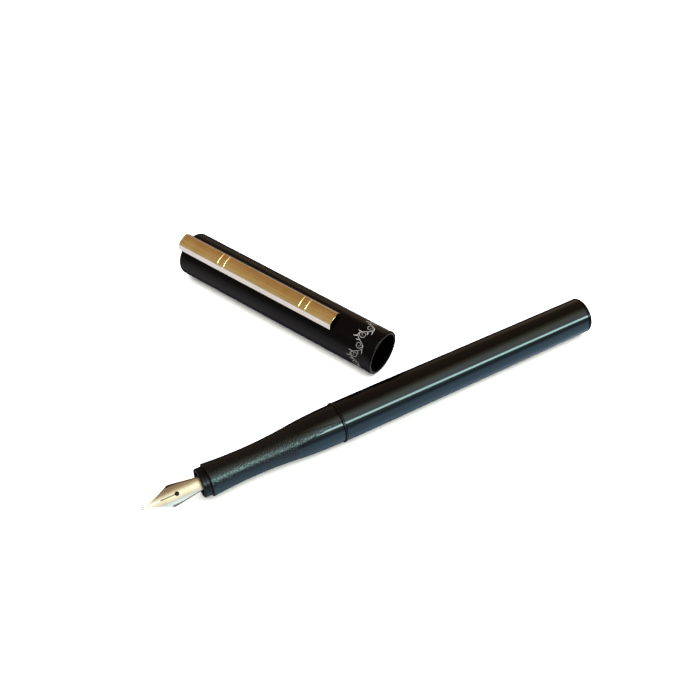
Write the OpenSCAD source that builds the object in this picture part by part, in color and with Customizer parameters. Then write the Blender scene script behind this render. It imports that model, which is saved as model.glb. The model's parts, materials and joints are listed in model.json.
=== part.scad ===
// Fountain pen with its cap off, both lying on a table. Millimetres.
// X runs along the pen from the nib to the barrel's end, Z is up, the table is z = 0.

/* [Pen] */
// Radius of the barrel where the cap seats
barrel_r = 5.22; // [5.15:0.01:5.22]
// Radius of the barrel at its far end
barrel_end_r = 4.82; // [4.75:0.01:5.0]
// Distance from the joint to the barrel's far end
barrel_len = 76.4; // [76:0.1:80]
// Distance from the joint to the nib's tip
nib_reach = 53.2; // [52.5:0.1:54]
// Roll of the nib about the pen's axis as it lies
nib_roll = 35; // [0:1:60]
// Radius of the thin ring at the joint
ring_r = 5.38; // [5.38:0.01:5.42]

/* [Cap] */
// Length of the cap from mouth to closed end
cap_len = 65.7; // [65.7:0.1:67]
// Outer radius of the cap at its closed end
cap_end_r = 6.13; // [6.05:0.01:6.16]
// Outer radius of the cap just behind the mouth ring
cap_mouth_r = 6.2; // [6.16:0.01:6.24]
// Radius of the proud ring at the mouth
lip_r = 6.3; // [6.26:0.01:6.4]
// Radius of the cap's bore
cap_bore_r = 5.43; // [5.43:0.01:5.5]
// Direction on the table from the cap's mouth to its closed end
cap_az = 115.84; // [110:0.1:122]
// Roll of the clip about the cap's axis as it lies
clip_roll = 21.3; // [0:0.1:40]

/* [Clip] */
// Width of the clip
clip_w = 3.9; // [3.7:0.1:4.1]
// How far each side of the clip splays out below its top
clip_splay = 0.7; // [0.5:0.1:0.8]
// Distance from the mouth to the clip's free end
clip_tip = 13.8; // [12:0.1:16]

/* [Hidden] */
$fn = 96;
eps = 0.01;
ring_t = 0.5;
seat_len = 6;
wall_gap = 0.05;
axis_z = ring_r;
cap_z = lip_r;
mouth_x = 21.35;
mouth_y = 13.57;

// grip: a long concave waist that runs into a convex rear
grip_front = -35.9;
waist_x = -25;
waist_r = 3.83;
waist_arc = 116;
rear_x = -1;
rear_r = 5.08;
rear_arc = 115;
turn_x = waist_x + (rear_x - waist_x) * waist_arc / (waist_arc + rear_arc);
grip_front_r = waist_r + waist_arc - sqrt(waist_arc * waist_arc - pow(waist_x - grip_front, 2));
grip_chamfer = 0.2;
front_bore_r = 3.35;
front_bore_end = -29;
mid_bore_r = 2.9;
nipple_seat = -14;
rear_bore_r = 3.7;
sleeve_r = 4.12;
sleeve_in = -5.5;
sleeve_out = 8.5;
sleeve_bore_r = 3.62;

// nib and feed
collar_front = -37.95;
collar_r = 3.8;
nib_bore_r = 2.9;
tail_bore_r = 2.4;
nib_arc = 3.2;
nib_t = 0.3;
nib_tilt = 3.2;
nib_back = -30;
nib_back_top = 2.45;
nib_drop = (nib_reach + nib_back) * tan(nib_tilt);
tip_r = 0.42;
breather_r = 0.52;
breather_from_tip = 9.1;
slit_w = 0.07;
// half outline of the nib: distance from the tip, half width
nib_edge = [
  [0.5, 0.22], [1.2, 0.36], [2.2, 0.62], [3.4, 1.02], [4.6, 1.48], [5.6, 1.9],
  [6.6, 2.34], [7.2, 2.62], [7.6, 2.78], [7.9, 2.83], [8.3, 2.8], [9.2, 2.69],
  [10.4, 2.51], [11.6, 2.31], [13, 2.07], [14.6, 1.83], [15.6, 1.75], [23.2, 1.75]
];
feed_front = -48.2;
feed_full = -45;
feed_r = 1.66;
feed_nose_r = 0.75;
feed_z = 0.2;
feed_flange = -37.3;
feed_flange_r = 2.85;
feed_tail_r = 2.36;
feed_back = -14.4;
fin_pitch = 0.85;
fin_cut = 0.38;
fin_count = 8;

// barrel
bore_r = 4.0;
insert_r = 4.6;
insert_bore_r = 4.17;
insert_end = 9.5;
thread_pitch = 0.7;
thread_from = 4.9;
tube_end = barrel_len - 1.3;
plug_in = 70.5;
edge_r = 1.2;

// converter
conv_front = -11;
conv_step = -2.5;
conv_r = 3.45;
nipple_r = 1.2;
nipple_end = -5.5;
tank_r = 3.3;
tank_bore_r = 2.9;
tank_end = 38;
band_r = 3.52;
band_from = 33.5;
band_to = 50;
piston_from = 29;
piston_len = 3.6;
rod_r = 0.95;
rod_end = 58.5;
knob_from = 50.3;
knob_end = 63.4;
knob_r = 3.2;
spindle_r = 2.6;
spindle_from = 40;
rod_hole_r = 1.05;

// cap
liner_from = 40.5;
liner_r = 5.2;
liner_to = 60.4;
liner_bore_r = 3.9;
disc_from = cap_len - 1.5;
spigot_from = 61;
lip_w = 0.8;
cap_edge_r = 1.45;
slot_w = 3.3;
slot_from = cap_len - 2.9;
slot_to = cap_len - 0.55;
screw_r = 0.8;

// clip: a channel with a ridged roof
clip_base = 6.01;
clip_side = 1.6;
clip_rise = 0.36;
clip_t = 0.42;
clip_root = cap_len + 0.2;
clip_clear_r = 6.5;
clip_bump_z = 7.16;
groove_at = [22.3, 24.4, 50, 52.1];
foot_w = 3.06;
foot_from = cap_len - 2.3;
foot_to = cap_len - 1.15;
foot_z = 6;
foot_bead_r = 0.7;

cap_top_y = mouth_y + disc_from * sin(cap_az) - (cap_end_r - 1.5) * cos(cap_az) + 1.5;
shift_x = (nib_reach - barrel_len) / 2;
shift_y = (ring_r - cap_top_y) / 2;

// the pen's own axis is X, with the nib's top towards +Z before the roll
module on_pen() {
  translate([shift_x, shift_y, axis_z])
    rotate([nib_roll, 0, 0])
      children();
}

// the cap's own axis is X: mouth at 0, closed end at cap_len, clip towards +Z before the roll
module on_cap() {
  translate([shift_x + mouth_x, shift_y + mouth_y, cap_z])
    rotate([0, 0, cap_az])
      rotate([-clip_roll, 0, 0])
        children();
}

module bar(from, to, r) {
  translate([from, 0, 0])
    rotate([0, 90, 0])
      cylinder(h = to - from, r = r);
}

module taper(from, to, r_from, r_to) {
  translate([from, 0, 0])
    rotate([0, 90, 0])
      cylinder(h = to - from, r1 = r_from, r2 = r_to);
}

module tube(from, to, r_out, r_in) {
  difference() {
    bar(from, to, r_out);
    bar(from - eps, to + eps, r_in);
  }
}

// turns an outline drawn as [radius, distance along the axis]
module lathe() {
  rotate([0, 90, 0])
    rotate_extrude()
      children();
}

module block(from, to, y_half, z_from, z_to) {
  translate([from, -y_half, z_from])
    cube([to - from, 2 * y_half, z_to - z_from]);
}

module grip_outline() {
  difference() {
    translate([0, grip_front])
      square([rear_r + 1, turn_x - grip_front]);
    translate([waist_r + waist_arc, waist_x])
      circle(r = waist_arc, $fn = 720);
    translate([grip_front_r, grip_front])
      rotate(45)
        square(grip_chamfer * sqrt(2), center = true);
  }
  intersection() {
    translate([0, turn_x])
      square([rear_r + 1, -turn_x]);
    translate([rear_r - rear_arc, rear_x])
      circle(r = rear_arc, $fn = 720);
  }
}

module grip() {
  color([0.1, 0.1, 0.1])
    on_pen()
      difference() {
        lathe() grip_outline();
        bar(grip_front - 1, front_bore_end, front_bore_r);
        bar(front_bore_end - 1, nipple_seat + 1, mid_bore_r);
        bar(nipple_seat, 1, rear_bore_r);
        bar(sleeve_in, 1, sleeve_r);
      }
}

// the gloss ring between grip and nib: two bands with a shallow line between them and a neck
module nib_collar() {
  color([0.05, 0.05, 0.05])
    on_pen()
      difference() {
        union() {
          bar(collar_front, collar_front + 0.95, collar_r);
          bar(collar_front + 0.9, collar_front + 1.15, collar_r - 0.15);
          bar(collar_front + 1.1, grip_front - 0.3, collar_r - 0.02);
          bar(grip_front - 0.35, grip_front, collar_r - 0.3);
        }
        bar(collar_front - 1, grip_front + 1, nib_bore_r);
      }
}

module nib_housing() {
  color([0.2, 0.2, 0.2])
    on_pen()
      difference() {
        union() {
          bar(grip_front, front_bore_end, front_bore_r);
          bar(front_bore_end - eps, nipple_seat + eps, mid_bore_r);
          bar(nipple_seat, nipple_seat + 1.4, rear_bore_r - wall_gap);
          bar(nipple_seat, nipple_end, nipple_r);
        }
        bar(grip_front - 1, nib_back + 0.6, nib_bore_r);
        bar(nib_back, nipple_seat - 0.2, tail_bore_r);
        bar(nipple_seat - 1, nipple_end + 1, 0.7);
      }
}

module thread_sleeve() {
  color([0.8, 0.65, 0.3])
    on_pen()
      difference() {
        union() {
          bar(sleeve_in, thread_from, sleeve_r);
          bar(thread_from, sleeve_out, sleeve_r - 0.2);
          for (x = [thread_from + 0.35 : thread_pitch : sleeve_out - 0.2])
            bar(x - 0.12, x + 0.12, sleeve_r);
        }
        bar(sleeve_in - 1, sleeve_out + 1, sleeve_bore_r);
      }
}

module joint_ring() {
  color([0.03, 0.03, 0.03])
    on_pen()
      tube(0, ring_t, ring_r, sleeve_r + wall_gap);
}

// the nib's sheet before cutting, grown by g all round
module nib_sheet(g) {
  translate([nib_back, 0, nib_back_top])
    rotate([0, -nib_tilt, 0])
      difference() {
        translate([-26, 0, -nib_arc])
          rotate([0, 90, 0])
            cylinder(h = 27, r = nib_arc + g);
        translate([-27, 0, -nib_arc])
          rotate([0, 90, 0])
            cylinder(h = 29, r = nib_arc - nib_t - g);
      }
}

module nib_outline() {
  polygon(concat(
    [for (p = nib_edge) [p[0] - nib_reach, p[1]]],
    [for (i = [len(nib_edge) - 1 : -1 : 0]) [nib_edge[i][0] - nib_reach, -nib_edge[i][1]]]
  ));
}

module nib_blank(g) {
  intersection() {
    nib_sheet(g);
    translate([0, 0, -1])
      linear_extrude(height = 5)
        nib_outline();
  }
}

module nib_slit() {
  block(-nib_reach - 1, breather_from_tip - nib_reach, slit_w / 2, -2, 4);
}

module nib() {
  color([0.85, 0.75, 0.55])
    on_pen()
      difference() {
        nib_blank(0);
        nib_slit();
        translate([breather_from_tip - nib_reach, 0, -1])
          cylinder(h = 5, r = breather_r, $fn = 48);
      }
}

module nib_tip() {
  color([0.8, 0.8, 0.8])
    on_pen()
      difference() {
        translate([tip_r - nib_reach, 0, nib_back_top - nib_drop - 0.34])
          sphere(r = tip_r, $fn = 48);
        nib_blank(0);
        nib_slit();
      }
}

// the nib lies on the finned front; the flange behind closes the collar's mouth round the nib
module feed() {
  color([0.08, 0.08, 0.08])
    on_pen()
      difference() {
        union() {
          intersection() {
            translate([0, 0, feed_z])
              union() {
                bar(feed_full, nib_back + 0.4, feed_r);
                taper(feed_front, feed_full + eps, feed_nose_r, feed_r);
              }
            translate([nib_back, 0, nib_back_top])
              rotate([0, -nib_tilt, 0])
                translate([-26, 0, -nib_arc])
                  rotate([0, 90, 0])
                    cylinder(h = 27, r = nib_arc - nib_t - 0.03);
          }
          bar(feed_flange, nib_back + 0.4, feed_flange_r);
          bar(nib_back + 0.7, feed_back, feed_tail_r);
          bar(nib_back - 0.5, nib_back + 0.8, feed_tail_r - 0.4);
        }
        nib_blank(0.03);
        for (i = [0 : fin_count - 1])
          block(-44.9 + i * fin_pitch, -44.9 + i * fin_pitch + fin_cut, 3, -3, -0.5);
        block(feed_front - 1, feed_flange - 0.5, 0.15, 0.6, 4);
      }
}

module barrel_tube() {
  color([0.06, 0.06, 0.06])
    on_pen()
      difference() {
        union() {
          bar(ring_t, ring_t + seat_len, barrel_r);
          taper(ring_t + seat_len - eps, tube_end, barrel_r, barrel_end_r);
        }
        bar(ring_t - 1, insert_end, insert_r);
        bar(insert_end - 1, tube_end + 1, bore_r);
      }
}

module barrel_insert() {
  color([0.8, 0.65, 0.3])
    on_pen()
      difference() {
        bar(ring_t + 0.2, insert_end, insert_r);
        bar(0, insert_end + 1, insert_bore_r);
        for (x = [thread_from + 0.7 : thread_pitch : insert_end - 0.3])
          bar(x - 0.12, x + 0.12, insert_bore_r + 0.18);
      }
}

module barrel_plug() {
  color([0.06, 0.06, 0.06])
    on_pen()
      union() {
        bar(plug_in, tube_end + eps, bore_r - 0.01);
        bar(tube_end, tube_end + 0.12, barrel_end_r - 0.14);
        lathe()
          translate([0, tube_end + 0.11]) {
            square([barrel_end_r - edge_r, barrel_len - tube_end - 0.11]);
            intersection() {
              square([barrel_end_r, barrel_len - tube_end - 0.11]);
              translate([barrel_end_r - edge_r, barrel_len - tube_end - 0.11 - edge_r])
                circle(r = edge_r);
            }
          }
      }
}

module converter_mouth() {
  color([0.15, 0.15, 0.15])
    on_pen()
      difference() {
        union() {
          bar(conv_front, conv_step, conv_r);
          bar(conv_step, 1.5, tank_bore_r - 0.02);
        }
        bar(conv_front - 1, nipple_end + 0.5, nipple_r + wall_gap);
        bar(nipple_end, 2, 0.9);
        taper(conv_front - eps, conv_front + 0.6, 1.9, nipple_r);
      }
}

module converter_tube() {
  color([0.8, 0.85, 0.9, 0.4])
    on_pen()
      tube(conv_step, tank_end, tank_r, tank_bore_r);
}

module converter_band() {
  color([0.8, 0.8, 0.82])
    on_pen()
      difference() {
        bar(band_from, band_to, band_r);
        bar(band_from - 1, tank_end, tank_r);
        bar(tank_end - 1, tank_end + 1.2, rod_hole_r);
        bar(tank_end + 1.2, band_to + 1, spindle_r + wall_gap);
      }
}

module converter_piston() {
  color([0.1, 0.1, 0.1])
    on_pen()
      difference() {
        union() {
          bar(piston_from, piston_from + 1, tank_bore_r - 0.04);
          bar(piston_from + 0.5, piston_from + piston_len - 0.5, tank_bore_r - 0.4);
          bar(piston_from + piston_len - 1, piston_from + piston_len, tank_bore_r - 0.04);
        }
        bar(piston_from + 1.4, piston_from + piston_len + 1, rod_r);
      }
}

module piston_rod() {
  color([0.7, 0.7, 0.72])
    on_pen()
      union() {
        bar(piston_from + 1.4, rod_end, rod_r - 0.15);
        bar(piston_from + 1.4, piston_from + piston_len, rod_r);
        for (x = [piston_from + 6 : 1.1 : rod_end])
          bar(x - 0.2, x + 0.2, rod_r);
      }
}

module converter_knob() {
  color([0.12, 0.12, 0.12])
    on_pen()
      difference() {
        union() {
          bar(spindle_from, knob_from + eps, spindle_r);
          bar(knob_from, knob_end, knob_r);
        }
        bar(spindle_from - 1, knob_end - 2.5, rod_hole_r);
        for (a = [0 : 20 : 340])
          rotate([a, 0, 0])
            block(knob_from + 1.2, knob_end - 0.8, 0.16, knob_r - 0.22, knob_r + 1);
      }
}

// the slot at the closed end that the clip's foot drops into
module clip_slot() {
  block(slot_from, slot_to, slot_w / 2, 3.9, 8);
}

module cap_tube() {
  color([0.06, 0.06, 0.06])
    on_cap()
      difference() {
        taper(lip_w, disc_from, cap_mouth_r, cap_end_r);
        bar(-1, liner_from, cap_bore_r);
        bar(liner_from - 1, cap_len, liner_r);
        clip_slot();
      }
}

module cap_lip() {
  color([0.1, 0.1, 0.1])
    on_cap()
      difference() {
        lathe() {
          square([lip_r - 0.3, lip_w]);
          translate([0, 0.3])
            square([lip_r, lip_w - 0.3]);
          translate([lip_r - 0.3, 0.3])
            circle(r = 0.3, $fn = 48);
        }
        bar(-1, 2, cap_bore_r);
      }
}

module cap_end() {
  color([0.06, 0.06, 0.06])
    on_cap()
      difference() {
        union() {
          bar(spigot_from, disc_from + eps, liner_r - 0.01);
          lathe()
            translate([0, disc_from]) {
              square([cap_end_r - cap_edge_r, 1.5]);
              square([cap_end_r, 1.5 - cap_edge_r]);
              intersection() {
                square([cap_end_r, 1.5]);
                translate([cap_end_r - cap_edge_r, 1.5 - cap_edge_r])
                  circle(r = cap_edge_r);
              }
            }
        }
        clip_slot();
        block(spigot_from - 1, slot_from + 0.5, slot_w / 2, 3.9, 8);
        bar(spigot_from - 1, cap_len - 1.9, screw_r + wall_gap);
      }
}

module cap_liner() {
  color([0.2, 0.2, 0.2])
    on_cap()
      difference() {
        bar(liner_from, liner_to, liner_r - 0.01);
        bar(liner_from - 1, liner_to - 1.4, liner_bore_r);
        bar(liner_to - 2, liner_to + 1, screw_r + wall_gap);
      }
}

module cap_screw() {
  color([0.75, 0.75, 0.77])
    on_cap()
      difference() {
        union() {
          bar(liner_to - 2.5, liner_to - 1.4, 1.6);
          bar(liner_to - 1.5, cap_len - 2, screw_r);
        }
        block(liner_to - 3, liner_to - 2.1, 0.2, -2, 2);
      }
}

module clip_anchor() {
  color([0.75, 0.75, 0.77])
    on_cap()
      union() {
        tube(liner_to, spigot_from, 5, screw_r + wall_gap);
        block(liner_to + 0.1, slot_from + 0.45, 1.4, 4.3, 4.95);
      }
}

module clip_outline() {
  w = clip_w / 2;
  polygon([
    [-w - clip_splay, 0], [-w, clip_side], [-w + 0.45, clip_side + 0.14], [0, clip_side + clip_rise],
    [w - 0.45, clip_side + 0.14], [w, clip_side], [w + clip_splay, 0]
  ]);
}

module clip_section() {
  w = clip_w / 2 - clip_t;
  difference() {
    clip_outline();
    polygon([
      [-w - clip_splay, -0.01], [-w, clip_side - clip_t], [0, clip_side + clip_rise - clip_t],
      [w, clip_side - clip_t], [w + clip_splay, -0.01]
    ]);
  }
}

module clip_length(from, to) {
  translate([from, 0, clip_base])
    rotate([90, 0, 90])
      linear_extrude(height = to - from)
        children();
}

// the clip, with two pairs of fine cross grooves, closed ends and a foot for the slot
module clip() {
  color([0.85, 0.65, 0.3])
    on_cap()
      difference() {
        union() {
          clip_length(clip_tip, clip_root) clip_section();
          difference() {
            union() {
              clip_length(clip_tip, clip_tip + 0.45) clip_outline();
              clip_length(clip_root - 0.45, clip_root) clip_outline();
            }
            bar(clip_tip - 1, clip_root + 1, clip_clear_r);
          }
          translate([clip_tip + 3, 0, clip_bump_z])
            sphere(r = 0.85, $fn = 48);
          block(foot_from, foot_to, foot_w / 2, 5.3, clip_base + clip_side);
          translate([(foot_from + foot_to) / 2, foot_w / 2, foot_z])
            rotate([90, 0, 0])
              cylinder(h = foot_w, r = foot_bead_r);
        }
        for (a = groove_at)
          block(a - 0.14, a + 0.14, clip_w, clip_base + clip_side + 0.02, clip_base + 3);
      }
}

grip();
nib_collar();
nib_housing();
thread_sleeve();
joint_ring();
nib();
nib_tip();
feed();
barrel_tube();
barrel_insert();
barrel_plug();
converter_mouth();
converter_tube();
converter_band();
converter_piston();
piston_rod();
converter_knob();
cap_tube();
cap_lip();
cap_end();
cap_liner();
cap_screw();
clip_anchor();
clip();
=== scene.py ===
"""A fountain pen with its cap off, lying on a pale table. Metres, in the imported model's frame."""

import json
import math

import bmesh
import bpy
from mathutils import Matrix, Vector


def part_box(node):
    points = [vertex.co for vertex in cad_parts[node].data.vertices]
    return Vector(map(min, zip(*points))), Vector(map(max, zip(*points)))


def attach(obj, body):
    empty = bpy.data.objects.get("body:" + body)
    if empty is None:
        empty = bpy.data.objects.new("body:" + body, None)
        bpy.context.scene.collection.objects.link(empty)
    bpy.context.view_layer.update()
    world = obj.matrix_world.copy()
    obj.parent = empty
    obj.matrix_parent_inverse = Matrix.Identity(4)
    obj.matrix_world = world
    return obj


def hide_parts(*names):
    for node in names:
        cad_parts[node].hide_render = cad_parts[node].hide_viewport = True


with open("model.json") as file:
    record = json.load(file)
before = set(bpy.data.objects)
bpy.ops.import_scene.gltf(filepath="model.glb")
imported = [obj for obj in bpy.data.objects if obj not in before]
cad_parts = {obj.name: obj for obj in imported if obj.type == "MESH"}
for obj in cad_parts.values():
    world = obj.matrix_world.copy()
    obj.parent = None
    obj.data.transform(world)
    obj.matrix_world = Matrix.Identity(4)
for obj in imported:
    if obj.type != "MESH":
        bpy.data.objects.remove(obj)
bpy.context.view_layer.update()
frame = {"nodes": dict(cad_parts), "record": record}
record = frame["record"]
nodes = frame["nodes"]

MM = 0.001
SIDES = 128

# ---------------------------------------------------------------- frames of the two parts

NIB_ROLL = math.radians(35)
CAP_MOUNT_DEPTH = 10
CAP_LEN = 65.7

ring_lo, ring_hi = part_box("joint_ring")
joint = Vector((ring_lo.x, (ring_lo.y + ring_hi.y) / 2, (ring_lo.z + ring_hi.z) / 2))
PEN = Matrix.Translation(joint) @ Matrix.Rotation(NIB_ROLL, 4, "X")

mouth = next(m for m in record["mounts"] if m["name"] == "cap_mouth")
flex = next(j for j in record["behaviour"]["joints"] if j["name"] == "clip_flex")
cap_out = Vector(mouth["axis"]).normalized()
cap_x = -cap_out
cap_y = Vector(flex["axis"]).normalized()
cap_z = cap_x.cross(cap_y)
if cap_z.z < 0:
    cap_y, cap_z = -cap_y, -cap_z
cap_origin = Vector(mouth["pos_m"]) + cap_out * CAP_MOUNT_DEPTH * MM
CAP = Matrix.Translation(cap_origin) @ Matrix((cap_x, cap_y, cap_z)).transposed().to_4x4()


# ---------------------------------------------------------------- camera

CAM_AIM = Vector((16.89, 23.44, 0)) * MM
CAM_AZIMUTH = math.radians(-28.99)
CAM_ELEVATION = math.radians(49.706)
CAM_DISTANCE = 0.32592
CAM_LENS, CAM_SENSOR = 61.714, 36
CAM_NEAR, CAM_FAR = 0.01, 10


def make_camera():
    cam = bpy.data.objects.new("camera", bpy.data.cameras.new("camera"))
    bpy.context.scene.collection.objects.link(cam)
    flat = math.cos(CAM_ELEVATION)
    across, along = math.sin(CAM_AZIMUTH) * flat, -math.cos(CAM_AZIMUTH) * flat
    back = Vector((across, along, math.sin(CAM_ELEVATION)))
    aim = Vector((joint.x, joint.y, 0)) + CAM_AIM
    cam.location = aim + back * CAM_DISTANCE
    cam.rotation_mode = "QUATERNION"
    cam.rotation_quaternion = (-back).to_track_quat("-Z", "Y")
    cam.data.sensor_width = CAM_SENSOR
    cam.data.lens = CAM_LENS
    cam.data.clip_start = CAM_NEAR
    cam.data.clip_end = CAM_FAR
    bpy.context.scene.camera = cam


make_camera()


# ---------------------------------------------------------------- material helpers


class Nodes:
    """A node tree, with short calls for the nodes used here."""

    def __init__(self, tree):
        self.tree = tree

    def node(self, kind, **settings):
        n = self.tree.nodes.new("ShaderNode" + kind)
        for k, v in settings.items():
            setattr(n, k, v)
        return n

    def link(self, a, b):
        self.tree.links.new(a, b)

    def fill(self, socket, value):
        """Links a socket's output, or sets a plain value."""
        if isinstance(value, bpy.types.NodeSocket):
            self.link(value, socket)
        else:
            socket.default_value = value

    def ramp(self, value, span, out=(0.0, 1.0)):
        """Takes a value from one span to another, and holds it at the ends."""
        r = self.node("MapRange", clamp=True)
        for key, v in zip(("From Min", "From Max", "To Min", "To Max"), (*span, *out)):
            r.inputs[key].default_value = v
        self.link(value, r.inputs["Value"])
        return r.outputs["Result"]

    def math(self, operation, a, b):
        m = self.node("Math", operation=operation)
        self.fill(m.inputs[0], a)
        self.fill(m.inputs[1], b)
        return m.outputs["Value"]

    def vector(self, operation, a, b):
        m = self.node("VectorMath", operation=operation)
        self.fill(m.inputs[0], a)
        self.fill(m.inputs[1], b)
        return m.outputs["Value" if operation == "DOT_PRODUCT" else "Vector"]

    def colours(self, value, *stops):
        """A colour ramp of (place, colour) stops."""
        r = self.node("ValToRGB")
        while len(r.color_ramp.elements) < len(stops):
            r.color_ramp.elements.new(0.5)
        for e, (at, rgb) in zip(r.color_ramp.elements, stops):
            e.position = at
            e.color = (*rgb, 1)
        self.link(value, r.inputs["Fac"])
        return r.outputs["Color"]

    def blend(self, share, a, b):
        """A colour between two colours."""
        m = self.node("Mix", data_type="RGBA")
        self.link(share, m.inputs["Factor"])
        self.link(a, next(i for i in m.inputs if i.name == "A" and i.type == "RGBA"))
        self.link(b, next(i for i in m.inputs if i.name == "B" and i.type == "RGBA"))
        return next(o for o in m.outputs if o.type == "RGBA")

    def between(self, share, a, b):
        """A value between two values."""
        m = self.node("Mix")
        self.link(share, m.inputs["Factor"])
        self.fill(m.inputs["A"], a)
        self.fill(m.inputs["B"], b)
        return m.outputs["Result"]


class Shader(Nodes):
    """A material on the Principled shader. Noise scales are in cells a metre."""

    def __init__(self, name):
        self.mat = bpy.data.materials.new(name)
        self.mat.use_nodes = True
        super().__init__(self.mat.node_tree)
        self.bsdf = next(n for n in self.tree.nodes if n.type == "BSDF_PRINCIPLED")

    def coords(self, place, stretch=(1, 1, 1)):
        """Position in a part's own frame, in metres, stretched along its axes."""
        turned = self.node("Mapping", vector_type="TEXTURE")
        turned.inputs["Location"].default_value = place.to_translation()
        turned.inputs["Rotation"].default_value = place.to_euler()
        scaled = self.node("Mapping")
        scaled.inputs["Scale"].default_value = stretch
        self.link(self.node("TexCoord").outputs["Object"], turned.inputs["Vector"])
        self.link(turned.outputs["Vector"], scaled.inputs["Vector"])
        return scaled.outputs["Vector"]

    def parts(self, vector):
        """A vector's X, Y and Z."""
        apart = self.node("SeparateXYZ")
        self.link(vector, apart.inputs["Vector"])
        return apart.outputs

    def noise(self, vector, scale, detail=3.0, rough=0.55):
        n = self.node("TexNoise")
        n.inputs["Scale"].default_value = scale
        n.inputs["Detail"].default_value = detail
        n.inputs["Roughness"].default_value = rough
        self.link(vector, n.inputs["Vector"])
        return n.outputs["Fac"]

    def bump(self, height, distance, under=None):
        """A bump of a height in metres, over another bump if one is given."""
        b = self.node("Bump")
        b.inputs["Distance"].default_value = distance
        b.inputs["Strength"].default_value = 1.0
        self.link(height, b.inputs["Height"])
        if under is not None:
            self.link(under, b.inputs["Normal"])
        return b.outputs["Normal"]

    def set(self, **values):
        """Fills the shader's own sockets, and returns the material."""
        for key, v in values.items():
            socket = self.bsdf.inputs[key.replace("_", " ")]
            self.fill(socket, (*v, 1) if isinstance(v, tuple) else v)
        return self.mat


def scaled(colour, factor):
    return tuple(c * factor for c in colour)


def gloss_black(name, place, tone, rough, level, scratch=1.0):
    """Polished black plastic: streaks of polish along the axis, dust-fine marks and a slow waviness."""
    streak_depth, speck_depth = 0.0000012 * scratch, 0.0000008 * scratch
    s = Shader(name)
    plain = s.coords(place)
    streaks = s.noise(s.coords(place, (0.12, 1, 1)), scale=2600, detail=4, rough=0.6)
    specks = s.noise(plain, scale=9000, detail=2)
    cloud = s.noise(plain, scale=60, detail=2)
    polish = s.ramp(streaks, (0.35, 0.75), (rough * 0.75, rough * 1.35))
    haze = s.ramp(cloud, (0.3, 0.7), (-0.015, 0.02))
    return s.set(
        Base_Color=s.colours(cloud, (0.3, scaled(tone, 0.6)), (0.7, tone)),
        Roughness=s.math("ADD", polish, haze),
        Normal=s.bump(specks, speck_depth, under=s.bump(streaks, streak_depth)),
        IOR=1.5,
        Specular_IOR_Level=level,
    )


TONGUE_SLOPE, TONGUE_LEN, TONGUE_BLUR = 9, 12.5 * MM, 0.5 * MM


def grip_black():
    """Matt grained plastic. Its top runs to the joint as a tongue, and both sides of it are polished."""
    matt_rough, polished_rough, polished_relief, grain_depth = (0.18, 0.38), 0.09, 0.02, 0.00008
    darkest, lightest = (0.0003, 0.0003, 0.0003), (0.0008, 0.0007, 0.0007)
    s = Shader("grip_black")
    plain = s.coords(PEN)
    grain = s.noise(plain, scale=2300, detail=1.5, rough=0.5)
    fine = s.noise(plain, scale=7000, detail=1)
    cloud = s.noise(plain, scale=140)
    at = s.parts(plain)
    aside = s.math("ABSOLUTE", at["Y"], 0)
    edge = s.math("MAXIMUM", s.math("MULTIPLY", aside, -TONGUE_SLOPE), -TONGUE_LEN)
    polished = s.ramp(s.math("SUBTRACT", at["X"], edge), (-TONGUE_BLUR, TONGUE_BLUR))
    relief = s.math("ADD", grain, s.math("MULTIPLY", fine, 0.12))
    height = s.math("MULTIPLY", relief, s.ramp(polished, (0, 1), (1.0, polished_relief)))
    return s.set(
        Base_Color=s.colours(cloud, (0.3, darkest), (0.75, lightest)),
        Roughness=s.between(polished, s.ramp(grain, (0.32, 0.68), matt_rough), polished_rough),
        Normal=s.bump(height, grain_depth),
        IOR=1.5,
        Specular_IOR_Level=0.3,
    )


def metal(name, place, bright, dull, rough, brush=(0.04, 1, 1), scale=5200):
    """Polished metal with fine lines along one axis, slow toning and a few rubbed spots."""
    line_depth = 0.0000015
    s = Shader(name)
    plain = s.coords(place)
    lines = s.noise(s.coords(place, brush), scale, detail=4, rough=0.6)
    tone = s.noise(plain, scale=260)
    rub = s.noise(plain, scale=2400)
    brushed = s.ramp(lines, (0.3, 0.7), (rough * 0.7, rough * 1.4))
    return s.set(
        Base_Color=s.colours(tone, (0.3, dull), (0.7, bright)),
        Metallic=1.0,
        Roughness=s.math("ADD", brushed, s.ramp(rub, (0.45, 0.8), (0.0, 0.06))),
        Normal=s.bump(lines, line_depth),
    )


# Where the pale painted reflection on the clip's flanks starts, across the clip.
PAINTED_FLANK_EDGE = 1.76 * MM, 1.82 * MM
# Where the painted shade on the clip's cut end stops, along the clip.
CUT_END = 13.83 * MM, 13.86 * MM


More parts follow.
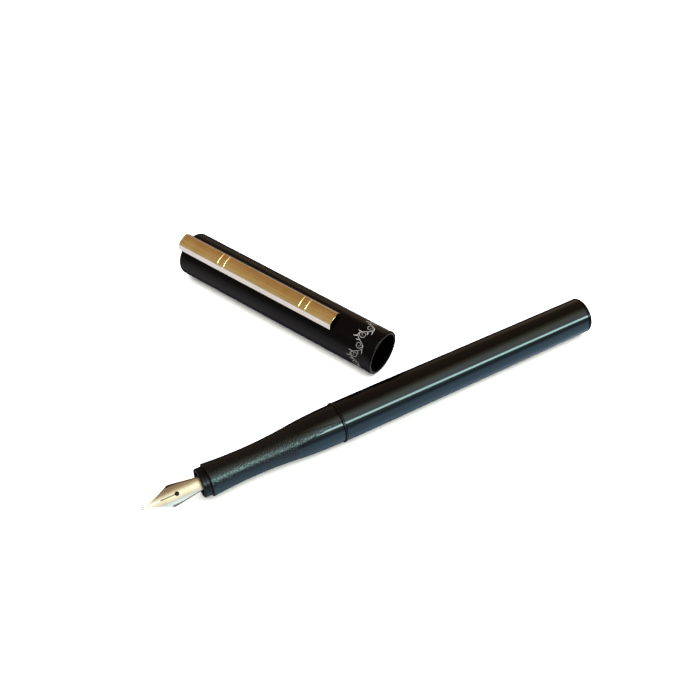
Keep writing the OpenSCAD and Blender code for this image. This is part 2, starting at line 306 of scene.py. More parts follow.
def clip_gold():
    """Gilt pressing: brushed gold crown, flanks painted pale as a painted reflection of the white table, and
    the cut end at the tip painted near-black as painted shade.
    """
    ragged_edge, line_depth = 0.00004, 0.000006
    deep_gold, light_gold = (0.78, 0.52, 0.2), (1.0, 0.74, 0.34)
    # The flanks' pale colours are a painted reflection of the white table.
    dim_painted_reflection, bright_painted_reflection = (0.9, 0.86, 0.8), (1.0, 0.95, 0.88)
    # The cut end's colours are painted shade: near-black where the end lies in shadow.
    painted_shade_black, painted_shade_brown = (0.004, 0.004, 0.005), (0.012, 0.01, 0.008)
    s = Shader("clip_gold")
    plain = s.coords(CAP)
    lines = s.noise(s.coords(CAP, (0.02, 1, 1)), scale=2800, detail=4, rough=0.65)
    tone = s.noise(plain, scale=260)
    rub = s.noise(plain, scale=2400)
    at = s.parts(plain)
    aside = s.math("ABSOLUTE", at["Y"], 0)
    # Mask of the flanks, which get the painted reflection, with a ragged edge.
    flank = s.ramp(s.math("ADD", aside, s.math("MULTIPLY", rub, ragged_edge)), PAINTED_FLANK_EDGE)
    # Mask of the cut end, which gets the painted shade.
    cut = s.ramp(at["X"], CUT_END, (1.0, 0.0))
    streaked = s.math("MULTIPLY", s.math("ADD", tone, s.math("MULTIPLY", lines, 2)), 0.333)
    gilt = s.colours(streaked, (0.38, deep_gold), (0.62, light_gold))
    pale = s.colours(tone, (0.3, dim_painted_reflection), (0.7, bright_painted_reflection))
    dark = s.colours(rub, (0.3, painted_shade_black), (0.7, painted_shade_brown))
    brushed = s.ramp(lines, (0.3, 0.7), (0.11, 0.24))
    return s.set(
        Base_Color=s.blend(cut, s.blend(flank, gilt, pale), dark),
        Metallic=1.0,
        Roughness=s.math("ADD", brushed, s.ramp(rub, (0.45, 0.8), (0.0, 0.06))),
        Normal=s.bump(lines, line_depth),
    )


def plastic(name, place, tone, rough, scale=3000):
    """Moulded plastic with a faint grain and uneven sheen."""
    grain_depth = 0.000004
    s = Shader(name)
    plain = s.coords(place)
    grain = s.noise(plain, scale)
    cloud = s.noise(plain, scale=180, detail=2)
    return s.set(
        Base_Color=s.colours(cloud, (0.3, scaled(tone, 0.75)), (0.7, tone)),
        Roughness=s.ramp(grain, (0.3, 0.7), (rough * 0.85, rough * 1.2)),
        Normal=s.bump(grain, grain_depth),
        Specular_IOR_Level=0.16,
    )


def clear_plastic():
    """The converter's clear tank, with faint moulding lines along it."""
    s = Shader("clear_plastic")
    cloud = s.noise(s.coords(PEN), scale=300, detail=2)
    lines = s.noise(s.coords(PEN, (0.1, 1, 1)), scale=3000)
    return s.set(
        Base_Color=s.colours(cloud, (0.3, (0.86, 0.9, 0.93)), (0.7, (0.93, 0.96, 0.98))),
        Roughness=s.ramp(lines, (0.3, 0.7), (0.05, 0.12)),
        Transmission_Weight=0.92,
        IOR=1.49,
    )


def print_white():
    """Thin printed enamel, slightly uneven in cover."""
    cover_depth = 0.000003
    s = Shader("print_white")
    cover = s.noise(s.coords(CAP), scale=4200)
    return s.set(
        Base_Color=s.colours(cover, (0.3, (0.12, 0.115, 0.11)), (0.6, (0.22, 0.215, 0.205))),
        Roughness=s.ramp(cover, (0.3, 0.7), (0.35, 0.55)),
        Normal=s.bump(cover, cover_depth),
    )


def table_white():
    """Pale board, a little cloudy."""
    s = Shader("table_white")
    cloud = s.noise(s.coords(Matrix.Identity(4)), scale=8, detail=2)
    white = s.colours(cloud, (0.3, (0.9, 0.9, 0.9)), (0.7, (0.93, 0.93, 0.93)))
    return s.set(Base_Color=white, Roughness=0.9)


INK_BLACK, COOL_BLACK = (0.0004, 0.0003, 0.0003), (0.0004, 0.0004, 0.0005)
ALONG, AROUND = (0.06, 1, 1), (1, 0.08, 0.08)

MATERIALS = {
    "grip": grip_black(),
    "barrel": gloss_black("barrel_black", PEN, INK_BLACK, rough=0.08, level=0.28),
    "cap": gloss_black("cap_black", CAP, INK_BLACK, rough=0.2, level=0.13, scratch=1.5),
    "trim": gloss_black("trim_black", PEN, COOL_BLACK, rough=0.3, level=0.18),
    "liner": plastic("liner_plastic", CAP, (0.004, 0.004, 0.005), rough=0.3),
    "black_plastic": plastic("black_plastic", PEN, (0.003, 0.0027, 0.0025), rough=0.38),
    "seal": plastic("seal_rubber", PEN, (0.02, 0.02, 0.022), rough=0.55, scale=6000),
    "gold": clip_gold(),
    "nib": metal("nib_steel", PEN, (0.8, 0.71, 0.58), (0.7, 0.61, 0.48), 0.3, ALONG, scale=6500),
    # The nib's outer strip: darker steel, painted shade along the edge.
    "nib_edge": metal("nib_edge_steel", PEN, (0.26, 0.2, 0.16), (0.18, 0.14, 0.11), 0.3, ALONG, scale=6500),
    "pellet": metal("pellet_metal", PEN, (0.5, 0.5, 0.5), (0.4, 0.4, 0.4), 0.3),
    "brass": metal("thread_brass", PEN, (0.85, 0.66, 0.33), (0.7, 0.52, 0.24), 0.28, AROUND),
    "steel": metal("bright_steel", PEN, (0.78, 0.78, 0.79), (0.66, 0.66, 0.67), 0.22, AROUND),
    "clear": clear_plastic(),
    "print": print_white(),
}


# ---------------------------------------------------------------- mesh helpers


def finish_piece(bm, name, place, body, material, stands_for=(), crease=32):
    """Turns a bmesh drawn in millimetres in a part's frame into a piece that rides on a body."""
    bmesh.ops.recalc_face_normals(bm, faces=bm.faces)
    mesh = bpy.data.meshes.new(name)
    bm.to_mesh(mesh)
    bm.free()
    mesh.transform(place @ Matrix.Scale(MM, 4))
    mesh.materials.append(MATERIALS[material])
    mesh.shade_smooth()
    mesh.set_sharp_from_angle(angle=math.radians(crease))
    piece = bpy.data.objects.new(name, mesh)
    bpy.context.scene.collection.objects.link(piece)
    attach(piece, body)
    if stands_for:
        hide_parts(*stands_for)
    return piece


SUPPORT, SUPPORT_SHARE = 0.25, 0.3
AXIS_TOL = 1e-6


def rounded(corners, steps=5, closed=True, share=0.45):
    """An outline's points from (x, y, fillet radius), with a support point on each side of a fillet.

    A fillet takes at most the given share of each of its two sides.
    """
    out = []
    count = len(corners)
    for i, (x, y, r) in enumerate(corners):
        p = Vector((x, y))
        if r == 0 or (not closed and i in (0, count - 1)):
            out.append((x, y))
            continue
        a = Vector(corners[i - 1][:2]) - p
        b = Vector(corners[(i + 1) % count][:2]) - p
        half = a.angle(b) / 2
        back = min(r / math.tan(half), share * a.length, share * b.length)
        r = back * math.tan(half)
        u, v = a.normalized(), b.normalized()
        centre = p + (u + v).normalized() * (r / math.sin(half))
        start, end = p + u * back, p + v * back
        before, after = (min(SUPPORT, SUPPORT_SHARE * (side.length - back)) for side in (a, b))
        out.append(tuple(start + u * before))
        turn = (start - centre).angle_signed(end - centre)
        for k in range(steps + 1):
            out.append(tuple(centre + Matrix.Rotation(-turn * k / steps, 2) @ (start - centre)))
        out.append(tuple(end + v * after))
    return out


def lathe(outline, closed=True):
    """Turns (along, radius) points round the X axis. An open outline starts and ends on the axis."""
    bm = bmesh.new()
    rings = []
    for x, r in outline:
        if r < AXIS_TOL:
            rings.append([bm.verts.new((x, 0, 0))] * SIDES)
        else:
            turn = [2 * math.pi * k / SIDES for k in range(SIDES)]
            rings.append([bm.verts.new((x, r * math.sin(t), r * math.cos(t))) for t in turn])
    pairs = list(zip(rings, rings[1:])) + ([(rings[-1], rings[0])] if closed else [])
    for one, two in pairs:
        for k in range(SIDES):
            n = (k + 1) % SIDES
            corner = list(dict.fromkeys((one[k], one[n], two[n], two[k])))
            if len(corner) > 2:
                bm.faces.new(corner)
    return bm


# ---------------------------------------------------------------- grip, collar, ring, barrel

GRIP_FRONT = -35.9
COLLAR_FRONT, COLLAR_R = -37.95, 3.8
WAIST_X, WAIST_R, WAIST_ARC = -25, 3.83, 116
REAR_X, REAR_R, REAR_ARC = -1, 5.08, 115
TURN_X = WAIST_X + (REAR_X - WAIST_X) * WAIST_ARC / (WAIST_ARC + REAR_ARC)
BARREL_R, BARREL_END_R, BARREL_LEN = 5.22, 4.82, 76.4
TUBE_END = BARREL_LEN - 1.3
RING_R, RING_W, RING_BORE_R = 5.38, 0.5, 4.17
FRONT_BORE_END, FRONT_BORE_R, MID_BORE_R = -29, 3.35, 2.9
NIPPLE_SEAT, REAR_BORE_R = -14, 3.7
SLEEVE_IN, SLEEVE_R = -5.5, 4.12
INSERT_END, INSERT_R, TUBE_BORE_R, TAPER_FROM = 9.5, 4.6, 4, 6.5
PLUG_IN, PLUG_R, PLUG_EDGE = 70.5, 3.99, 1.1
SEAM_R, SEAM_W = 4.68, 0.12


def grip_radius(x):
    if x < TURN_X:
        return WAIST_R + WAIST_ARC - math.sqrt(WAIST_ARC**2 - (x - WAIST_X) ** 2)
    return REAR_R - REAR_ARC + math.sqrt(REAR_ARC**2 - (x - REAR_X) ** 2)


def build_grip():
    """The waisted grip: its outside point by point every half millimetre, then its stepped bore."""
    outer = [(x / 2, grip_radius(x / 2), 0) for x in range(-70, -1)]
    front, back = (GRIP_FRONT, grip_radius(GRIP_FRONT), 0.22), (0, grip_radius(-0.2), 0.15)
    corners = [(GRIP_FRONT, FRONT_BORE_R, 0), front, *outer, back]
    corners += [(0, SLEEVE_R, 0), (SLEEVE_IN, SLEEVE_R, 0)]
    corners += [(SLEEVE_IN, REAR_BORE_R, 0), (NIPPLE_SEAT, REAR_BORE_R, 0)]
    corners += [(NIPPLE_SEAT, MID_BORE_R, 0), (FRONT_BORE_END, MID_BORE_R, 0)]
    corners += [(FRONT_BORE_END, FRONT_BORE_R, 0)]
    finish_piece(lathe(rounded(corners)), "grip_body", PEN, "front", "grip", ["grip"])


def build_collar():
    """Two bands with a shallow line between them, and a neck that meets the grip."""
    front, front_r = COLLAR_FRONT, COLLAR_R
    back_r, line_r, neck_r = COLLAR_R - 0.02, COLLAR_R - 0.14, COLLAR_R - 0.3
    line_from, line_to, slant = front + 0.95, front + 1.15, 0.03
    neck = GRIP_FRONT - 0.3
    corners = [
        (GRIP_FRONT, MID_BORE_R, 0), (GRIP_FRONT, neck_r, 0), (neck, neck_r, 0.04),
        (neck, back_r, 0.12), (line_to, back_r, 0.1), (line_to - slant, line_r, 0.03),
        (line_from + slant, line_r, 0.03), (line_from, front_r, 0.1),
        (front, front_r, 0.26), (front, MID_BORE_R, 0.1),
    ]
    collar = lathe(rounded(corners))
    finish_piece(collar, "nib_collar_ring", PEN, "front", "trim", ["nib_collar"])


def build_joint_ring():
    corners = [(0, RING_BORE_R, 0), (0, RING_R, 0.14), (RING_W, RING_R, 0.14), (RING_W, RING_BORE_R, 0)]
    ring = lathe(rounded(corners))
    finish_piece(ring, "joint_band", PEN, "turning_ring", "trim", ["joint_ring"])


def build_barrel():
    """The tapered tube, and the end plug with a fine seam where it meets the tube."""
    corners = [
        (RING_W, INSERT_R, 0), (RING_W, BARREL_R, 0.14), (TAPER_FROM, BARREL_R, 0),
        (TUBE_END, BARREL_END_R, 0.1), (TUBE_END, TUBE_BORE_R, 0),
        (INSERT_END, TUBE_BORE_R, 0), (INSERT_END, INSERT_R, 0),
    ]
    shell = lathe(rounded(corners))
    finish_piece(shell, "barrel_shell", PEN, "barrel", "barrel", ["barrel_tube"])
    seam_end = TUBE_END + SEAM_W
    corners = [
        (PLUG_IN, 0, 0), (PLUG_IN, PLUG_R, 0.2), (TUBE_END, PLUG_R, 0), (TUBE_END, SEAM_R, 0),
        (seam_end, SEAM_R, 0), (seam_end, BARREL_END_R, 0.08),
        (BARREL_LEN, BARREL_END_R, PLUG_EDGE), (BARREL_LEN, 0, 0),
    ]
    plug = lathe(rounded(corners, steps=9, closed=False, share=0.9), closed=False)
    finish_piece(plug, "barrel_end", PEN, "barrel", "barrel", ["barrel_plug"])


# ---------------------------------------------------------------- nib

NIB_REACH = 53.2
NIB_BACK, NIB_BACK_TOP = -30, 2.45
NIB_SLOPE = math.tan(math.radians(3.2))
NIB_ARC, NIB_THICK = 3.2, 0.3
NIB_FROM, NIB_TO, NIB_ACROSS = 0.5, 23.2, 14
BREATHER_AT, BREATHER_R, SLIT = 9.1, 0.58, 0.2
# Distance from the tip where the nib's painted shade strip begins.
SHADED_STRIP_FROM = 7.3
NIB_BEVEL, NIB_MERGE = 0.05 * MM, 1e-4
NIB_EDGE = [
    (0.5, 0.22), (1.2, 0.36), (2.2, 0.62), (3.4, 1.02), (4.6, 1.48), (5.6, 1.9), (6.6, 2.34), (7.2, 2.62),
    (7.6, 2.78), (7.9, 2.83), (8.3, 2.8), (9.2, 2.69), (10.4, 2.51), (11.6, 2.31), (13, 2.07), (14.6, 1.83),
    (15.6, 1.75), (23.2, 1.75),
]


def along_table(table, at):
    """Linear reading of a table of (place, value)."""
    if at <= table[0][0]:
        return table[0][1]
    for (a, va), (b, vb) in zip(table, table[1:]):
        if at <= b:
            return va + (vb - va) * (at - a) / (b - a)
    return table[-1][1]


def nib_point(from_tip, y, depth):
    """A point of the nib's sheet: distance from the tip, offset from the slit, depth below the top face."""
    x = from_tip - NIB_REACH
    top = NIB_BACK_TOP - (NIB_BACK - x) * NIB_SLOPE
    r = NIB_ARC - depth
    swing = y / NIB_ARC
    angle = math.asin(max(-1, min(1, swing)))
    return (x, r * math.sin(angle), top - NIB_ARC + r * math.cos(angle))


def nib_stations():
    """Distances from the tip: even steps to the hole, its rim followed closely, then longer steps."""
    rim_from, rim_to = BREATHER_AT - BREATHER_R, BREATHER_AT + BREATHER_R
    before = [NIB_FROM + 0.2 * k for k in range(38)]
    rim = [BREATHER_AT - BREATHER_R * math.cos(math.pi * k / 16) for k in range(17)]
    after = [rim_to + 0.2 + 0.3 * k for k in range(46)]
    kept = [s for s in before if s < rim_from - 0.05] + [s for s in after if s <= NIB_TO]
    return sorted(set(kept + rim))


def nib_opening(from_tip):
    """Half the width of the slit or the hole there, and none behind the hole."""
    square = BREATHER_R**2 - (from_tip - BREATHER_AT) ** 2
    hole = math.sqrt(square) if square > 0 else 0
    return max(hole, SLIT / 2) if from_tip < BREATHER_AT else hole


def in_shaded_strip(face):
    """Whether a face lies in the outer strip of the nib's shoulders and flanks, which is painted darker as
    painted shade along the edge.
    """
    middle = face.calc_center_median()
    from_tip = middle.x + NIB_REACH
    edge = NIB_ARC * math.sin(along_table(NIB_EDGE, from_tip) / NIB_ARC)
    return from_tip > SHADED_STRIP_FROM and abs(middle.y) > (1 - 1 / NIB_ACROSS) * edge


def build_nib():
    """The nib's sheet, as two halves that meet behind the hole, with an eased edge."""
    stations = nib_stations()
    bm = bmesh.new()
    for side in (1, -1):
        tops, bottoms = [], []
        for s in stations:
            low, wide = nib_opening(s), along_table(NIB_EDGE, s)
            ys = [low + (wide - low) * k / NIB_ACROSS for k in range(NIB_ACROSS + 1)]
            tops.append([bm.verts.new(nib_point(s, side * y, 0)) for y in ys])
            bottoms.append([bm.verts.new(nib_point(s, side * y, NIB_THICK)) for y in ys])
        for i in range(len(stations) - 1):
            for k in range(NIB_ACROSS):
                bm.faces.new((tops[i][k], tops[i][k + 1], tops[i + 1][k + 1], tops[i + 1][k]))
                bm.faces.new((bottoms[i][k], bottoms[i + 1][k], bottoms[i + 1][k + 1], bottoms[i][k + 1]))
            bm.faces.new((tops[i][-1], bottoms[i][-1], bottoms[i + 1][-1], tops[i + 1][-1]))
            if nib_opening(stations[i]) > 0 or nib_opening(stations[i + 1]) > 0:
                bm.faces.new((tops[i][0], tops[i + 1][0], bottoms[i + 1][0], bottoms[i][0]))
        for end in (0, -1):
            for k in range(NIB_ACROSS):
                bm.faces.new((tops[end][k], bottoms[end][k], bottoms[end][k + 1], tops[end][k + 1]))
    for face in bm.faces:
        # Faces of the outer strip take the darker steel, which is painted shade.
        face.material_index = int(in_shaded_strip(face))
    bmesh.ops.remove_doubles(bm, verts=bm.verts, dist=NIB_MERGE)
    nib = finish_piece(bm, "nib_sheet", PEN, "nib_unit", "nib", ["nib"], crease=40)
    nib.data.materials.append(MATERIALS["nib_edge"])
    bevel = nib.modifiers.new("edge", "BEVEL")
    bevel.width = NIB_BEVEL
    bevel.segments = 2
    bevel.limit_method = "ANGLE"
    bevel.angle_limit = math.radians(50)
    bevel.use_clamp_overlap = True
    return nib


# ---------------------------------------------------------------- cap

CAP_END_R, CAP_MOUTH_R, LIP_R, CAP_BORE_R, SEAT_R = 6.13, 6.2, 6.3, 5.43, 5.2
LINER_FROM = 40.5
LIP_W = 0.8
DISC_FROM, CAP_EDGE = CAP_LEN - 1.5, 1.5
SPIGOT_FROM, SPIGOT_R = DISC_FROM - 2, SEAT_R - 0.02


def cap_radius(a):
    """Outer radius of the cap's tube at a distance from its mouth."""
    return CAP_MOUTH_R + (CAP_END_R - CAP_MOUTH_R) * (a - LIP_W) / (DISC_FROM - LIP_W)


def build_cap():
    """The cap's tube, the slightly proud ring at its mouth and the rounded disc that closes it."""
    corners = [
        (LIP_W, CAP_BORE_R, 0), (LIP_W, CAP_MOUTH_R, 0.06), (DISC_FROM, CAP_END_R, 0.03),
        (DISC_FROM, SEAT_R, 0), (LINER_FROM, SEAT_R, 0), (LINER_FROM, CAP_BORE_R, 0),
    ]
    finish_piece(lathe(rounded(corners)), "cap_shell", CAP, "cap", "cap", ["cap_tube"])
    corners = [(0, CAP_BORE_R, 0.16), (0, LIP_R, 0.3), (LIP_W, LIP_R, 0.1), (LIP_W, CAP_BORE_R, 0)]
    finish_piece(lathe(rounded(corners)), "cap_mouth_ring", CAP, "cap", "cap", ["cap_lip"])
    corners = [
        (SPIGOT_FROM, 0, 0), (SPIGOT_FROM, SPIGOT_R, 0.1), (DISC_FROM, SPIGOT_R, 0),
        (DISC_FROM, CAP_END_R, 0.03), (CAP_LEN, CAP_END_R, CAP_EDGE), (CAP_LEN, 0, 0),
    ]
    disc = lathe(rounded(corners, steps=9, closed=False, share=0.96), closed=False)
    finish_piece(disc, "cap_end_disc", CAP, "cap", "cap", ["cap_end"])


# ---------------------------------------------------------------- clip

CLIP_W, CLIP_SPLAY, CLIP_TIP, CLIP_ROOT, CLIP_BASE = 3.9, 0.7, 13.8, CAP_LEN + 0.2, 6.01
CLIP_SIDE, CLIP_RISE, CLIP_T, CLIP_EDGE = 1.6, 0.36, 0.42, 0.3
CLIP_CLEAR_R, END_WALL, END_EASE, END_STEP = 6.5, 0.45, 0.06, 0.02
GROOVES = (22.3, 24.4, 50, 52.1)
GROOVE_HALF, GROOVE_DEPTH, GROOVE_ROOM = 0.13, 0.09, 0.3


def clip_outer():
    """The clip's outside from one flange's foot over the crown to the other's."""
    w = CLIP_W / 2
    foot = w + CLIP_SPLAY
    crown = [(x / 20, CLIP_SIDE + CLIP_RISE * (1 - (x / 20 / w) ** 2), 0) for x in range(-30, 31, 3)]
    left = [(-foot, 0, 0), (-w, CLIP_SIDE, CLIP_EDGE)]
    right = [(w, CLIP_SIDE, CLIP_EDGE), (foot, 0, 0)]
    return rounded(left + crown + right, steps=6, closed=False)


def clip_inner(walled):
    """The clip's inside, from right to left: the channel, or the arch under a closed end."""
    w = CLIP_W / 2 - CLIP_T
    foot = w + CLIP_SPLAY
    steps = 24
    out = []
    for k in range(steps + 1):
        y = foot * math.cos(math.pi * k / steps)
        if walled:
            z = math.sqrt(CLIP_CLEAR_R**2 - y * y) - CLIP_BASE
        elif abs(y) > w:
            z = (foot - abs(y)) / CLIP_SPLAY * (CLIP_SIDE - CLIP_T)
        else:
            z = CLIP_SIDE - CLIP_T + CLIP_RISE * (1 - (y / w) ** 2)
        out.append((y, z))
    return out


def clip_stations():
    """Places along the clip, with whether the end is closed there and how far its edge is eased."""
    tip_wall, root_wall = CLIP_TIP + END_WALL, CLIP_ROOT - END_WALL
    plain = {tip_wall + 0.5 + k for k in range(51)}
    for g in GROOVES:
        plain = {s for s in plain if abs(s - g) > GROOVE_ROOM}
        plain |= {g + GROOVE_HALF * f for f in (-1.6, -1, -0.5, 0, 0.5, 1, 1.6)}
    ends = [(CLIP_TIP, True, END_EASE), (CLIP_TIP + END_EASE, True, 0), (tip_wall, True, 0)]
    ends += [(tip_wall + END_STEP, False, 0), (root_wall - END_STEP, False, 0)]
    ends += [(root_wall, True, 0), (CLIP_ROOT - END_EASE, True, 0), (CLIP_ROOT, True, END_EASE)]
    return sorted(ends + [(s, False, 0) for s in plain])


def build_clip():
    """A splayed channel with a crowned top, closed ends and four shallow rounded grooves."""
    outer, crown_from = clip_outer(), CLIP_SIDE + 0.03
    bm = bmesh.new()
    rings = []
    for s, walled, ease in clip_stations():
        near = min(abs(s - g) for g in GROOVES)
        dip = GROOVE_DEPTH * max(0, 1 - (near / GROOVE_HALF) ** 2)
        drawn_in = 1 - ease / CLIP_W * 2
        ring = []
        for y, z in outer:
            z = z - dip if z > crown_from else z
            lowered = ease if z > ease else 0
            ring.append(bm.verts.new((s, y * drawn_in, CLIP_BASE + z - lowered)))
        ring += [bm.verts.new((s, y, CLIP_BASE + z)) for y, z in clip_inner(walled)]
        rings.append(ring)
    n = len(rings[0])
    for one, two in zip(rings, rings[1:]):
        for k in range(n):
            bm.faces.new((one[k], one[(k + 1) % n], two[(k + 1) % n], two[k]))
    bm.faces.new(rings[0])
    bm.faces.new(rings[-1])
    finish_piece(bm, "clip_channel", CAP, "clip_arm", "gold", ["clip"], crease=35)


# ---------------------------------------------------------------- printed ornament


WAVE_FROM, WAVE_TO, WAVE_STEP = -122, 94, 54
WAVE_AT, WAVE_SWING = 4.9, 1.5
TENDRIL_SIZE, TENDRIL_TURNS, TENDRIL_POINTS = 1.05, 1.3, 28
TENDRIL_HALF, TENDRIL_BACK, TENDRIL_LIFT = 0.065, 3, 0.25
LEAVES = ((-9, 1.1, 1.5), (4, 0.7, 1.3), (12, 0.9, 1.1))
LEAF_BEND, LEAF_POINTS = 0.5, 8
PRINT_LIFT = 0.02
DEG = math.pi / 180


def on_cap(bm, a, deg, lift):
    r = cap_radius(a) + lift
    t = math.radians(deg)
    return bm.verts.new((a, r * math.sin(t), r * math.cos(t)))


def ribbon(bm, path, half_width):
    """A thin raised line on the cap's side through points of (distance from the mouth, degrees)."""
    section = ((-1, -PRINT_LIFT), (-1, PRINT_LIFT), (1, PRINT_LIFT), (1, -PRINT_LIFT))
    last = len(path) - 1
    rows = []
    for i, (a, deg) in enumerate(path):
        a0, d0 = path[max(0, i - 1)]
        a1, d1 = path[min(last, i + 1)]
        arc = DEG * cap_radius(a)
        run = Vector((a1 - a0, (d1 - d0) * arc))
        side = Vector((-run.y, run.x)).normalized() * half_width(i / last)
        rows.append([on_cap(bm, a + s * side.x, deg + s * side.y / arc, h) for s, h in section])
    for one, two in zip(rows, rows[1:]):
        for k in range(4):
            bm.faces.new((one[k], one[(k + 1) % 4], two[(k + 1) % 4], two[k]))
    bm.faces.new(rows[0])
    bm.faces.new(rows[-1])


def wave(deg):
    """Distance from the mouth of the ornament's stem, which swings round the cap."""
    return WAVE_AT + WAVE_SWING * math.sin(math.radians((deg - WAVE_FROM) * 360 / WAVE_STEP))


def tendril(at, deg, way):
    """A tendril's points, curling in from (at, deg) to one side of the stem."""
    arc = DEG * CAP_MOUTH_R
    out = []
    for k in range(TENDRIL_POINTS + 1):
        f = k / TENDRIL_POINTS
        swing = 2 * math.pi * TENDRIL_TURNS * f
        r = TENDRIL_SIZE * (1 - 0.8 * f)
        out.append((at + way * (TENDRIL_SIZE - r * math.cos(swing)), deg + r * math.sin(swing) / arc))
    return out


def leaf(at, deg, lean, length):
    """A leaf's points from (at, deg), leaning from the stem by an angle in radians."""
    arc = DEG * CAP_MOUTH_R
    out = []
    for k in range(LEAF_POINTS + 1):
        run = length * k / LEAF_POINTS
        bend = lean + LEAF_BEND * k / LEAF_POINTS
        out.append((at + run * math.sin(bend), deg + run * math.cos(bend) / arc))
    return out


def stem_half(f):
    return 0.04 + 0.035 * abs(math.sin(9 * f))


def tendril_half(f):
    return TENDRIL_HALF * (1 - 0.5 * f)


def leaf_half(f):
    return 0.02 + 0.1 * math.sin(math.pi * min(1, f * 1.05)) ** 0.9


def build_ornament():
    """A running vine round the mouth: a swinging stem, a tendril in each bend and small leaves."""
    bm = bmesh.new()
    ribbon(bm, [(wave(d), d) for d in range(WAVE_FROM, WAVE_TO + 1, 2)], stem_half)
    half = WAVE_STEP // 2
    for k, deg in enumerate(range(WAVE_FROM + half // 2, WAVE_TO, half)):
        way = -1 if k % 2 == 0 else 1
        ribbon(bm, tendril(wave(deg) + way * TENDRIL_LIFT, deg - TENDRIL_BACK, way), tendril_half)
        for ahead, lean, length in LEAVES:
            ribbon(bm, leaf(wave(deg + ahead), deg + ahead, -way * lean, length), leaf_half)
    finish_piece(bm, "cap_ornament", CAP, "cap", "print")


build_grip()
build_collar()
build_joint_ring()
build_barrel()
nib_piece = build_nib()
build_cap()
build_clip()
build_ornament()


# ---------------------------------------------------------------- CAD nodes that stay

KEPT = {
    "nib_housing": "black_plastic",
    "thread_sleeve": "brass",
    "nib_tip": "pellet",
    "feed": "black_plastic",
    "barrel_insert": "brass",
    "converter_mouth": "black_plastic",
    "converter_tube": "clear",
    "converter_band": "steel",
    "converter_piston": "seal",
    "piston_rod": "steel",
    "converter_knob": "black_plastic",
    "cap_liner": "liner",
    "cap_screw": "steel",
    "clip_anchor": "steel",
}
for name, material in KEPT.items():
    mesh = nodes[name].data
    mesh.materials.clear()
    mesh.materials.append(MATERIALS[material])


# ---------------------------------------------------------------- floor and lights

FLOOR_HALF = 4
OVERHEAD_AT, OVERHEAD_SIZE, OVERHEAD_RADIANCE = (0.0, 0.0, 1.4), (2.4, 2.4), 5.2
WINDOW_LEFT, WINDOW_RIGHT = Vector((0.0, -0.745, 0.57)), Vector((0.6, -0.708, 0.355))
WINDOW_AIM = Vector((0.02, -0.03, 0))
WINDOW_SIZE, WINDOW_RADIANCE, WINDOW_COLOUR = (0.78, 0.15), 24, (0.6, 0.98, 1.0)
CARD_AT, CARD_AIM = (-0.03, -0.3, 0.1), (-0.045, 0, 0.004)
CARD_SIZE, CARD_RADIANCE, CARD_COLOUR = (0.3, 0.16), 0.5, (1, 0.93, 0.85)


def build_stage():
    """A wide white table top. It is left out of the reflections, where the studio stands instead."""
    bm = bmesh.new()
    signs = ((-1, -1), (1, -1), (1, 1), (-1, 1))
    bm.faces.new([bm.verts.new((x * FLOOR_HALF, y * FLOOR_HALF, 0)) for x, y in signs])
    mesh = bpy.data.meshes.new("table_top")
    bm.to_mesh(mesh)
    bm.free()
    mesh.materials.append(table_white())
    floor = bpy.data.objects.new("table_top", mesh)
    floor.visible_glossy = False
    bpy.context.scene.collection.objects.link(floor)


# The studio that the gloss reflects. A patch is a colour ramp over the cosine of the angle between
# a ray and the patch's direction. A slope runs from one colour to another between two such cosines.

LEFT, RIGHT, UP, DOWN = (-1, 0, 0), (1, 0, 0), (0, 0, 1), (0, 0, -1)
ROOM = (-0.9, -0.3, 0.3)
GLOW = Vector((0.31, -0.56, 0.77)).normalized()
FAR_GLOW = Vector((0.66, 0.72, 0.10)).normalized()
MOUTH_SIDE = Vector((0.64, -0.10, -0.76)).normalized()
LOW_FRONT = Vector((0.31, -0.95, 0.10)).normalized()
FAR_TABLE = Vector((0.70, 0.45, -0.55)).normalized()
NEAR_FLOOR = Vector((0.36, -0.93, 0.0))

BLACK, DEEP_BLUE = (0, 0, 0), (0.02, 0.02, 0.03)
ROOM_STOPS = (
    (0.0, (0.34, 0.24, 0.16)),
    (0.45, (0.40, 0.31, 0.22)),
    (0.83, (0.45, 0.43, 0.36)),
    (0.93, (0.33, 0.32, 0.30)),
)
GLOW_STOPS = (
    (0.75, BLACK),
    (0.79, (0.04, 0.05, 0.03)),
    (0.89, (0.13, 0.138, 0.095)),
    (0.96, (0.29, 0.333, 0.277)),
    (1.0, (0.34, 0.47, 0.5)),
)
BEYOND_STOPS = ((0.92, BLACK), (0.99, (0.5, 0.38, 0.25)))
COOL_STOPS = ((0.9, BLACK), (1.0, (0.02, 0.45, 0.75)))
RIM_STOPS = ((0.94, BLACK), (1.0, (0.23, 0.18, 0.16)))
FAR_STOPS = ((0.9, BLACK), (0.96, (0.33, 0.3, 0.26)))
PAPER_STOPS = ((0.0, (0.95, 0.95, 0.95)), (1.0, (0.85, 0.85, 0.86)))
NEAR_BLUE, NEAR_GREY, LEFT_GREY = (0.4, 0.66, 0.87), (0.38, 0.37, 0.36), (0.31, 0.29, 0.28)
NEAR_SPAN, LEFT_SPAN, HORIZON_SPAN = (-0.1, 0.97), (0.3, 0.85), (-0.1, 0.2)
GLOW_DIM_SPAN, NEAR_BLUE_SPAN, NEAR_SIDE_SPAN = (-0.08, 0.14), (0.02, 0.14), (-0.62, -0.5)
GLOW_DIM, GLOW_GAIN, TABLE_GAIN = (0.42, 0.4, 0.45), (6, 6, 6), (3, 3, 3)


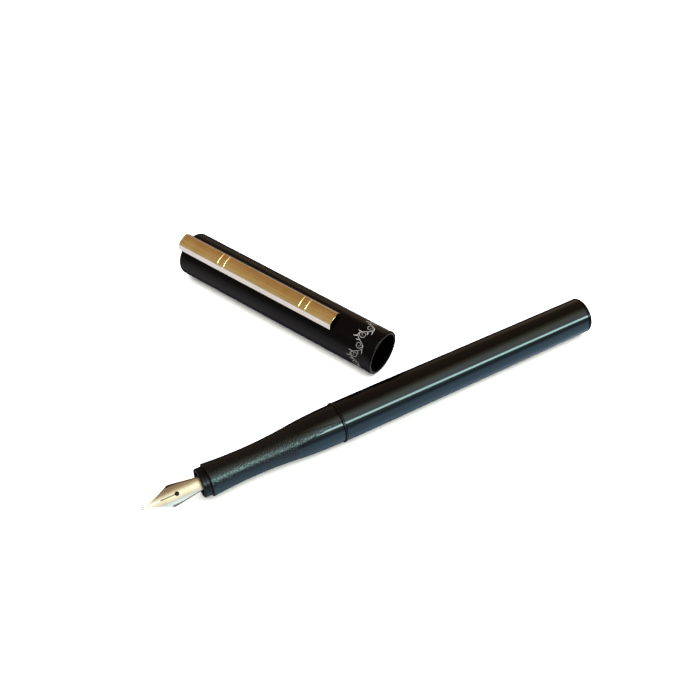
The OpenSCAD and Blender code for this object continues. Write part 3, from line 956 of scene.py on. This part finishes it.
def build_world():
    """A dim warm room, a cool glow round the window side and a pale table below them.

    The camera sees plain paper beyond the floor instead.
    """
    world = bpy.data.worlds.new("studio")
    world.use_nodes = True
    w = Nodes(world.node_tree)
    view = w.node("TexCoord").outputs["Generated"]

    def toward(direction, span):
        return w.ramp(w.vector("DOT_PRODUCT", view, direction), span)

    def patch(direction, stops):
        return w.colours(w.vector("DOT_PRODUCT", view, direction), *stops)

    def slope(direction, span, start, end):
        return w.colours(toward(direction, span), (0.0, start), (1.0, end))

    def total(*colours):
        out = colours[0]
        for colour in colours[1:]:
            out = w.vector("ADD", out, colour)
        return out

    glow = patch(GLOW, GLOW_STOPS)
    glow = w.blend(toward(RIGHT, GLOW_DIM_SPAN), w.vector("MULTIPLY", glow, GLOW_DIM), glow)
    glow = w.vector("MULTIPLY", glow, GLOW_GAIN)
    above = total(patch(ROOM, ROOM_STOPS), patch(FAR_GLOW, BEYOND_STOPS), patch(LOW_FRONT, COOL_STOPS), glow)

    blue = slope(NEAR_FLOOR, NEAR_SPAN, DEEP_BLUE, NEAR_BLUE)
    grey = slope(NEAR_FLOOR, NEAR_SPAN, DEEP_BLUE, NEAR_GREY)
    near = w.blend(toward(RIGHT, NEAR_BLUE_SPAN), grey, blue)
    near = w.vector("MULTIPLY", near, toward(LEFT, NEAR_SIDE_SPAN))
    left = slope(LEFT, LEFT_SPAN, BLACK, LEFT_GREY)
    below = total(near, left, patch(FAR_TABLE, FAR_STOPS), patch(MOUTH_SIDE, RIM_STOPS))
    below = w.vector("MULTIPLY", below, TABLE_GAIN)

    studio = w.blend(toward(DOWN, HORIZON_SPAN), above, below)
    seen = w.blend(w.node("LightPath").outputs["Is Camera Ray"], studio, patch(UP, PAPER_STOPS))
    back = next(n for n in w.tree.nodes if n.type == "BACKGROUND")
    w.link(seen, back.inputs["Color"])
    back.inputs["Strength"].default_value = 1.0
    bpy.context.scene.world = world


def area_light(name, at, aim, size, radiance, colour):
    data = bpy.data.lights.new(name, "AREA")
    data.shape = "RECTANGLE"
    data.size, data.size_y = size
    data.energy = radiance * math.pi * size[0] * size[1]
    data.color = colour
    lamp = bpy.data.objects.new(name, data)
    lamp.location = at
    lamp.rotation_mode = "QUATERNION"
    lamp.rotation_quaternion = (Vector(aim) - Vector(at)).to_track_quat("-Z", "Y")
    bpy.context.scene.collection.objects.link(lamp)
    return lamp


def limit_lamp(lamp, piece, state):
    """Keeps a lamp off one piece ("EXCLUDE"), or off all but that piece ("INCLUDE")."""
    group = bpy.data.collections.new(lamp.name + "_reach")
    group.objects.link(piece)
    group.collection_objects[0].light_linking.link_state = state
    lamp.light_linking.receiver_collection = group


def build_lights(nib):
    """A soft lamp overhead, a long window for the gloss on the tubes and a small card for the nib."""
    overhead = area_light("overhead", OVERHEAD_AT, (0, 0, 0), OVERHEAD_SIZE, OVERHEAD_RADIANCE, (1, 1, 1))
    overhead.visible_glossy = False

    middle = WINDOW_LEFT.lerp(WINDOW_RIGHT, 0.5)
    window = area_light("window", middle, WINDOW_AIM, WINDOW_SIZE, WINDOW_RADIANCE, WINDOW_COLOUR)
    back = (window.location - WINDOW_AIM).normalized()
    along = (WINDOW_RIGHT - WINDOW_LEFT).normalized()
    along = (along - back * along.dot(back)).normalized()
    turned = Matrix((along, back.cross(along), back)).transposed()
    window.rotation_quaternion = turned.to_quaternion()
    window.visible_diffuse = False
    limit_lamp(window, nib, "EXCLUDE")

    card = area_light("card", CARD_AT, CARD_AIM, CARD_SIZE, CARD_RADIANCE, CARD_COLOUR)
    card.visible_diffuse = False
    limit_lamp(card, nib, "INCLUDE")


build_stage()
build_world()
build_lights(nib_piece)
bpy.context.scene.view_settings.view_transform = "Standard"
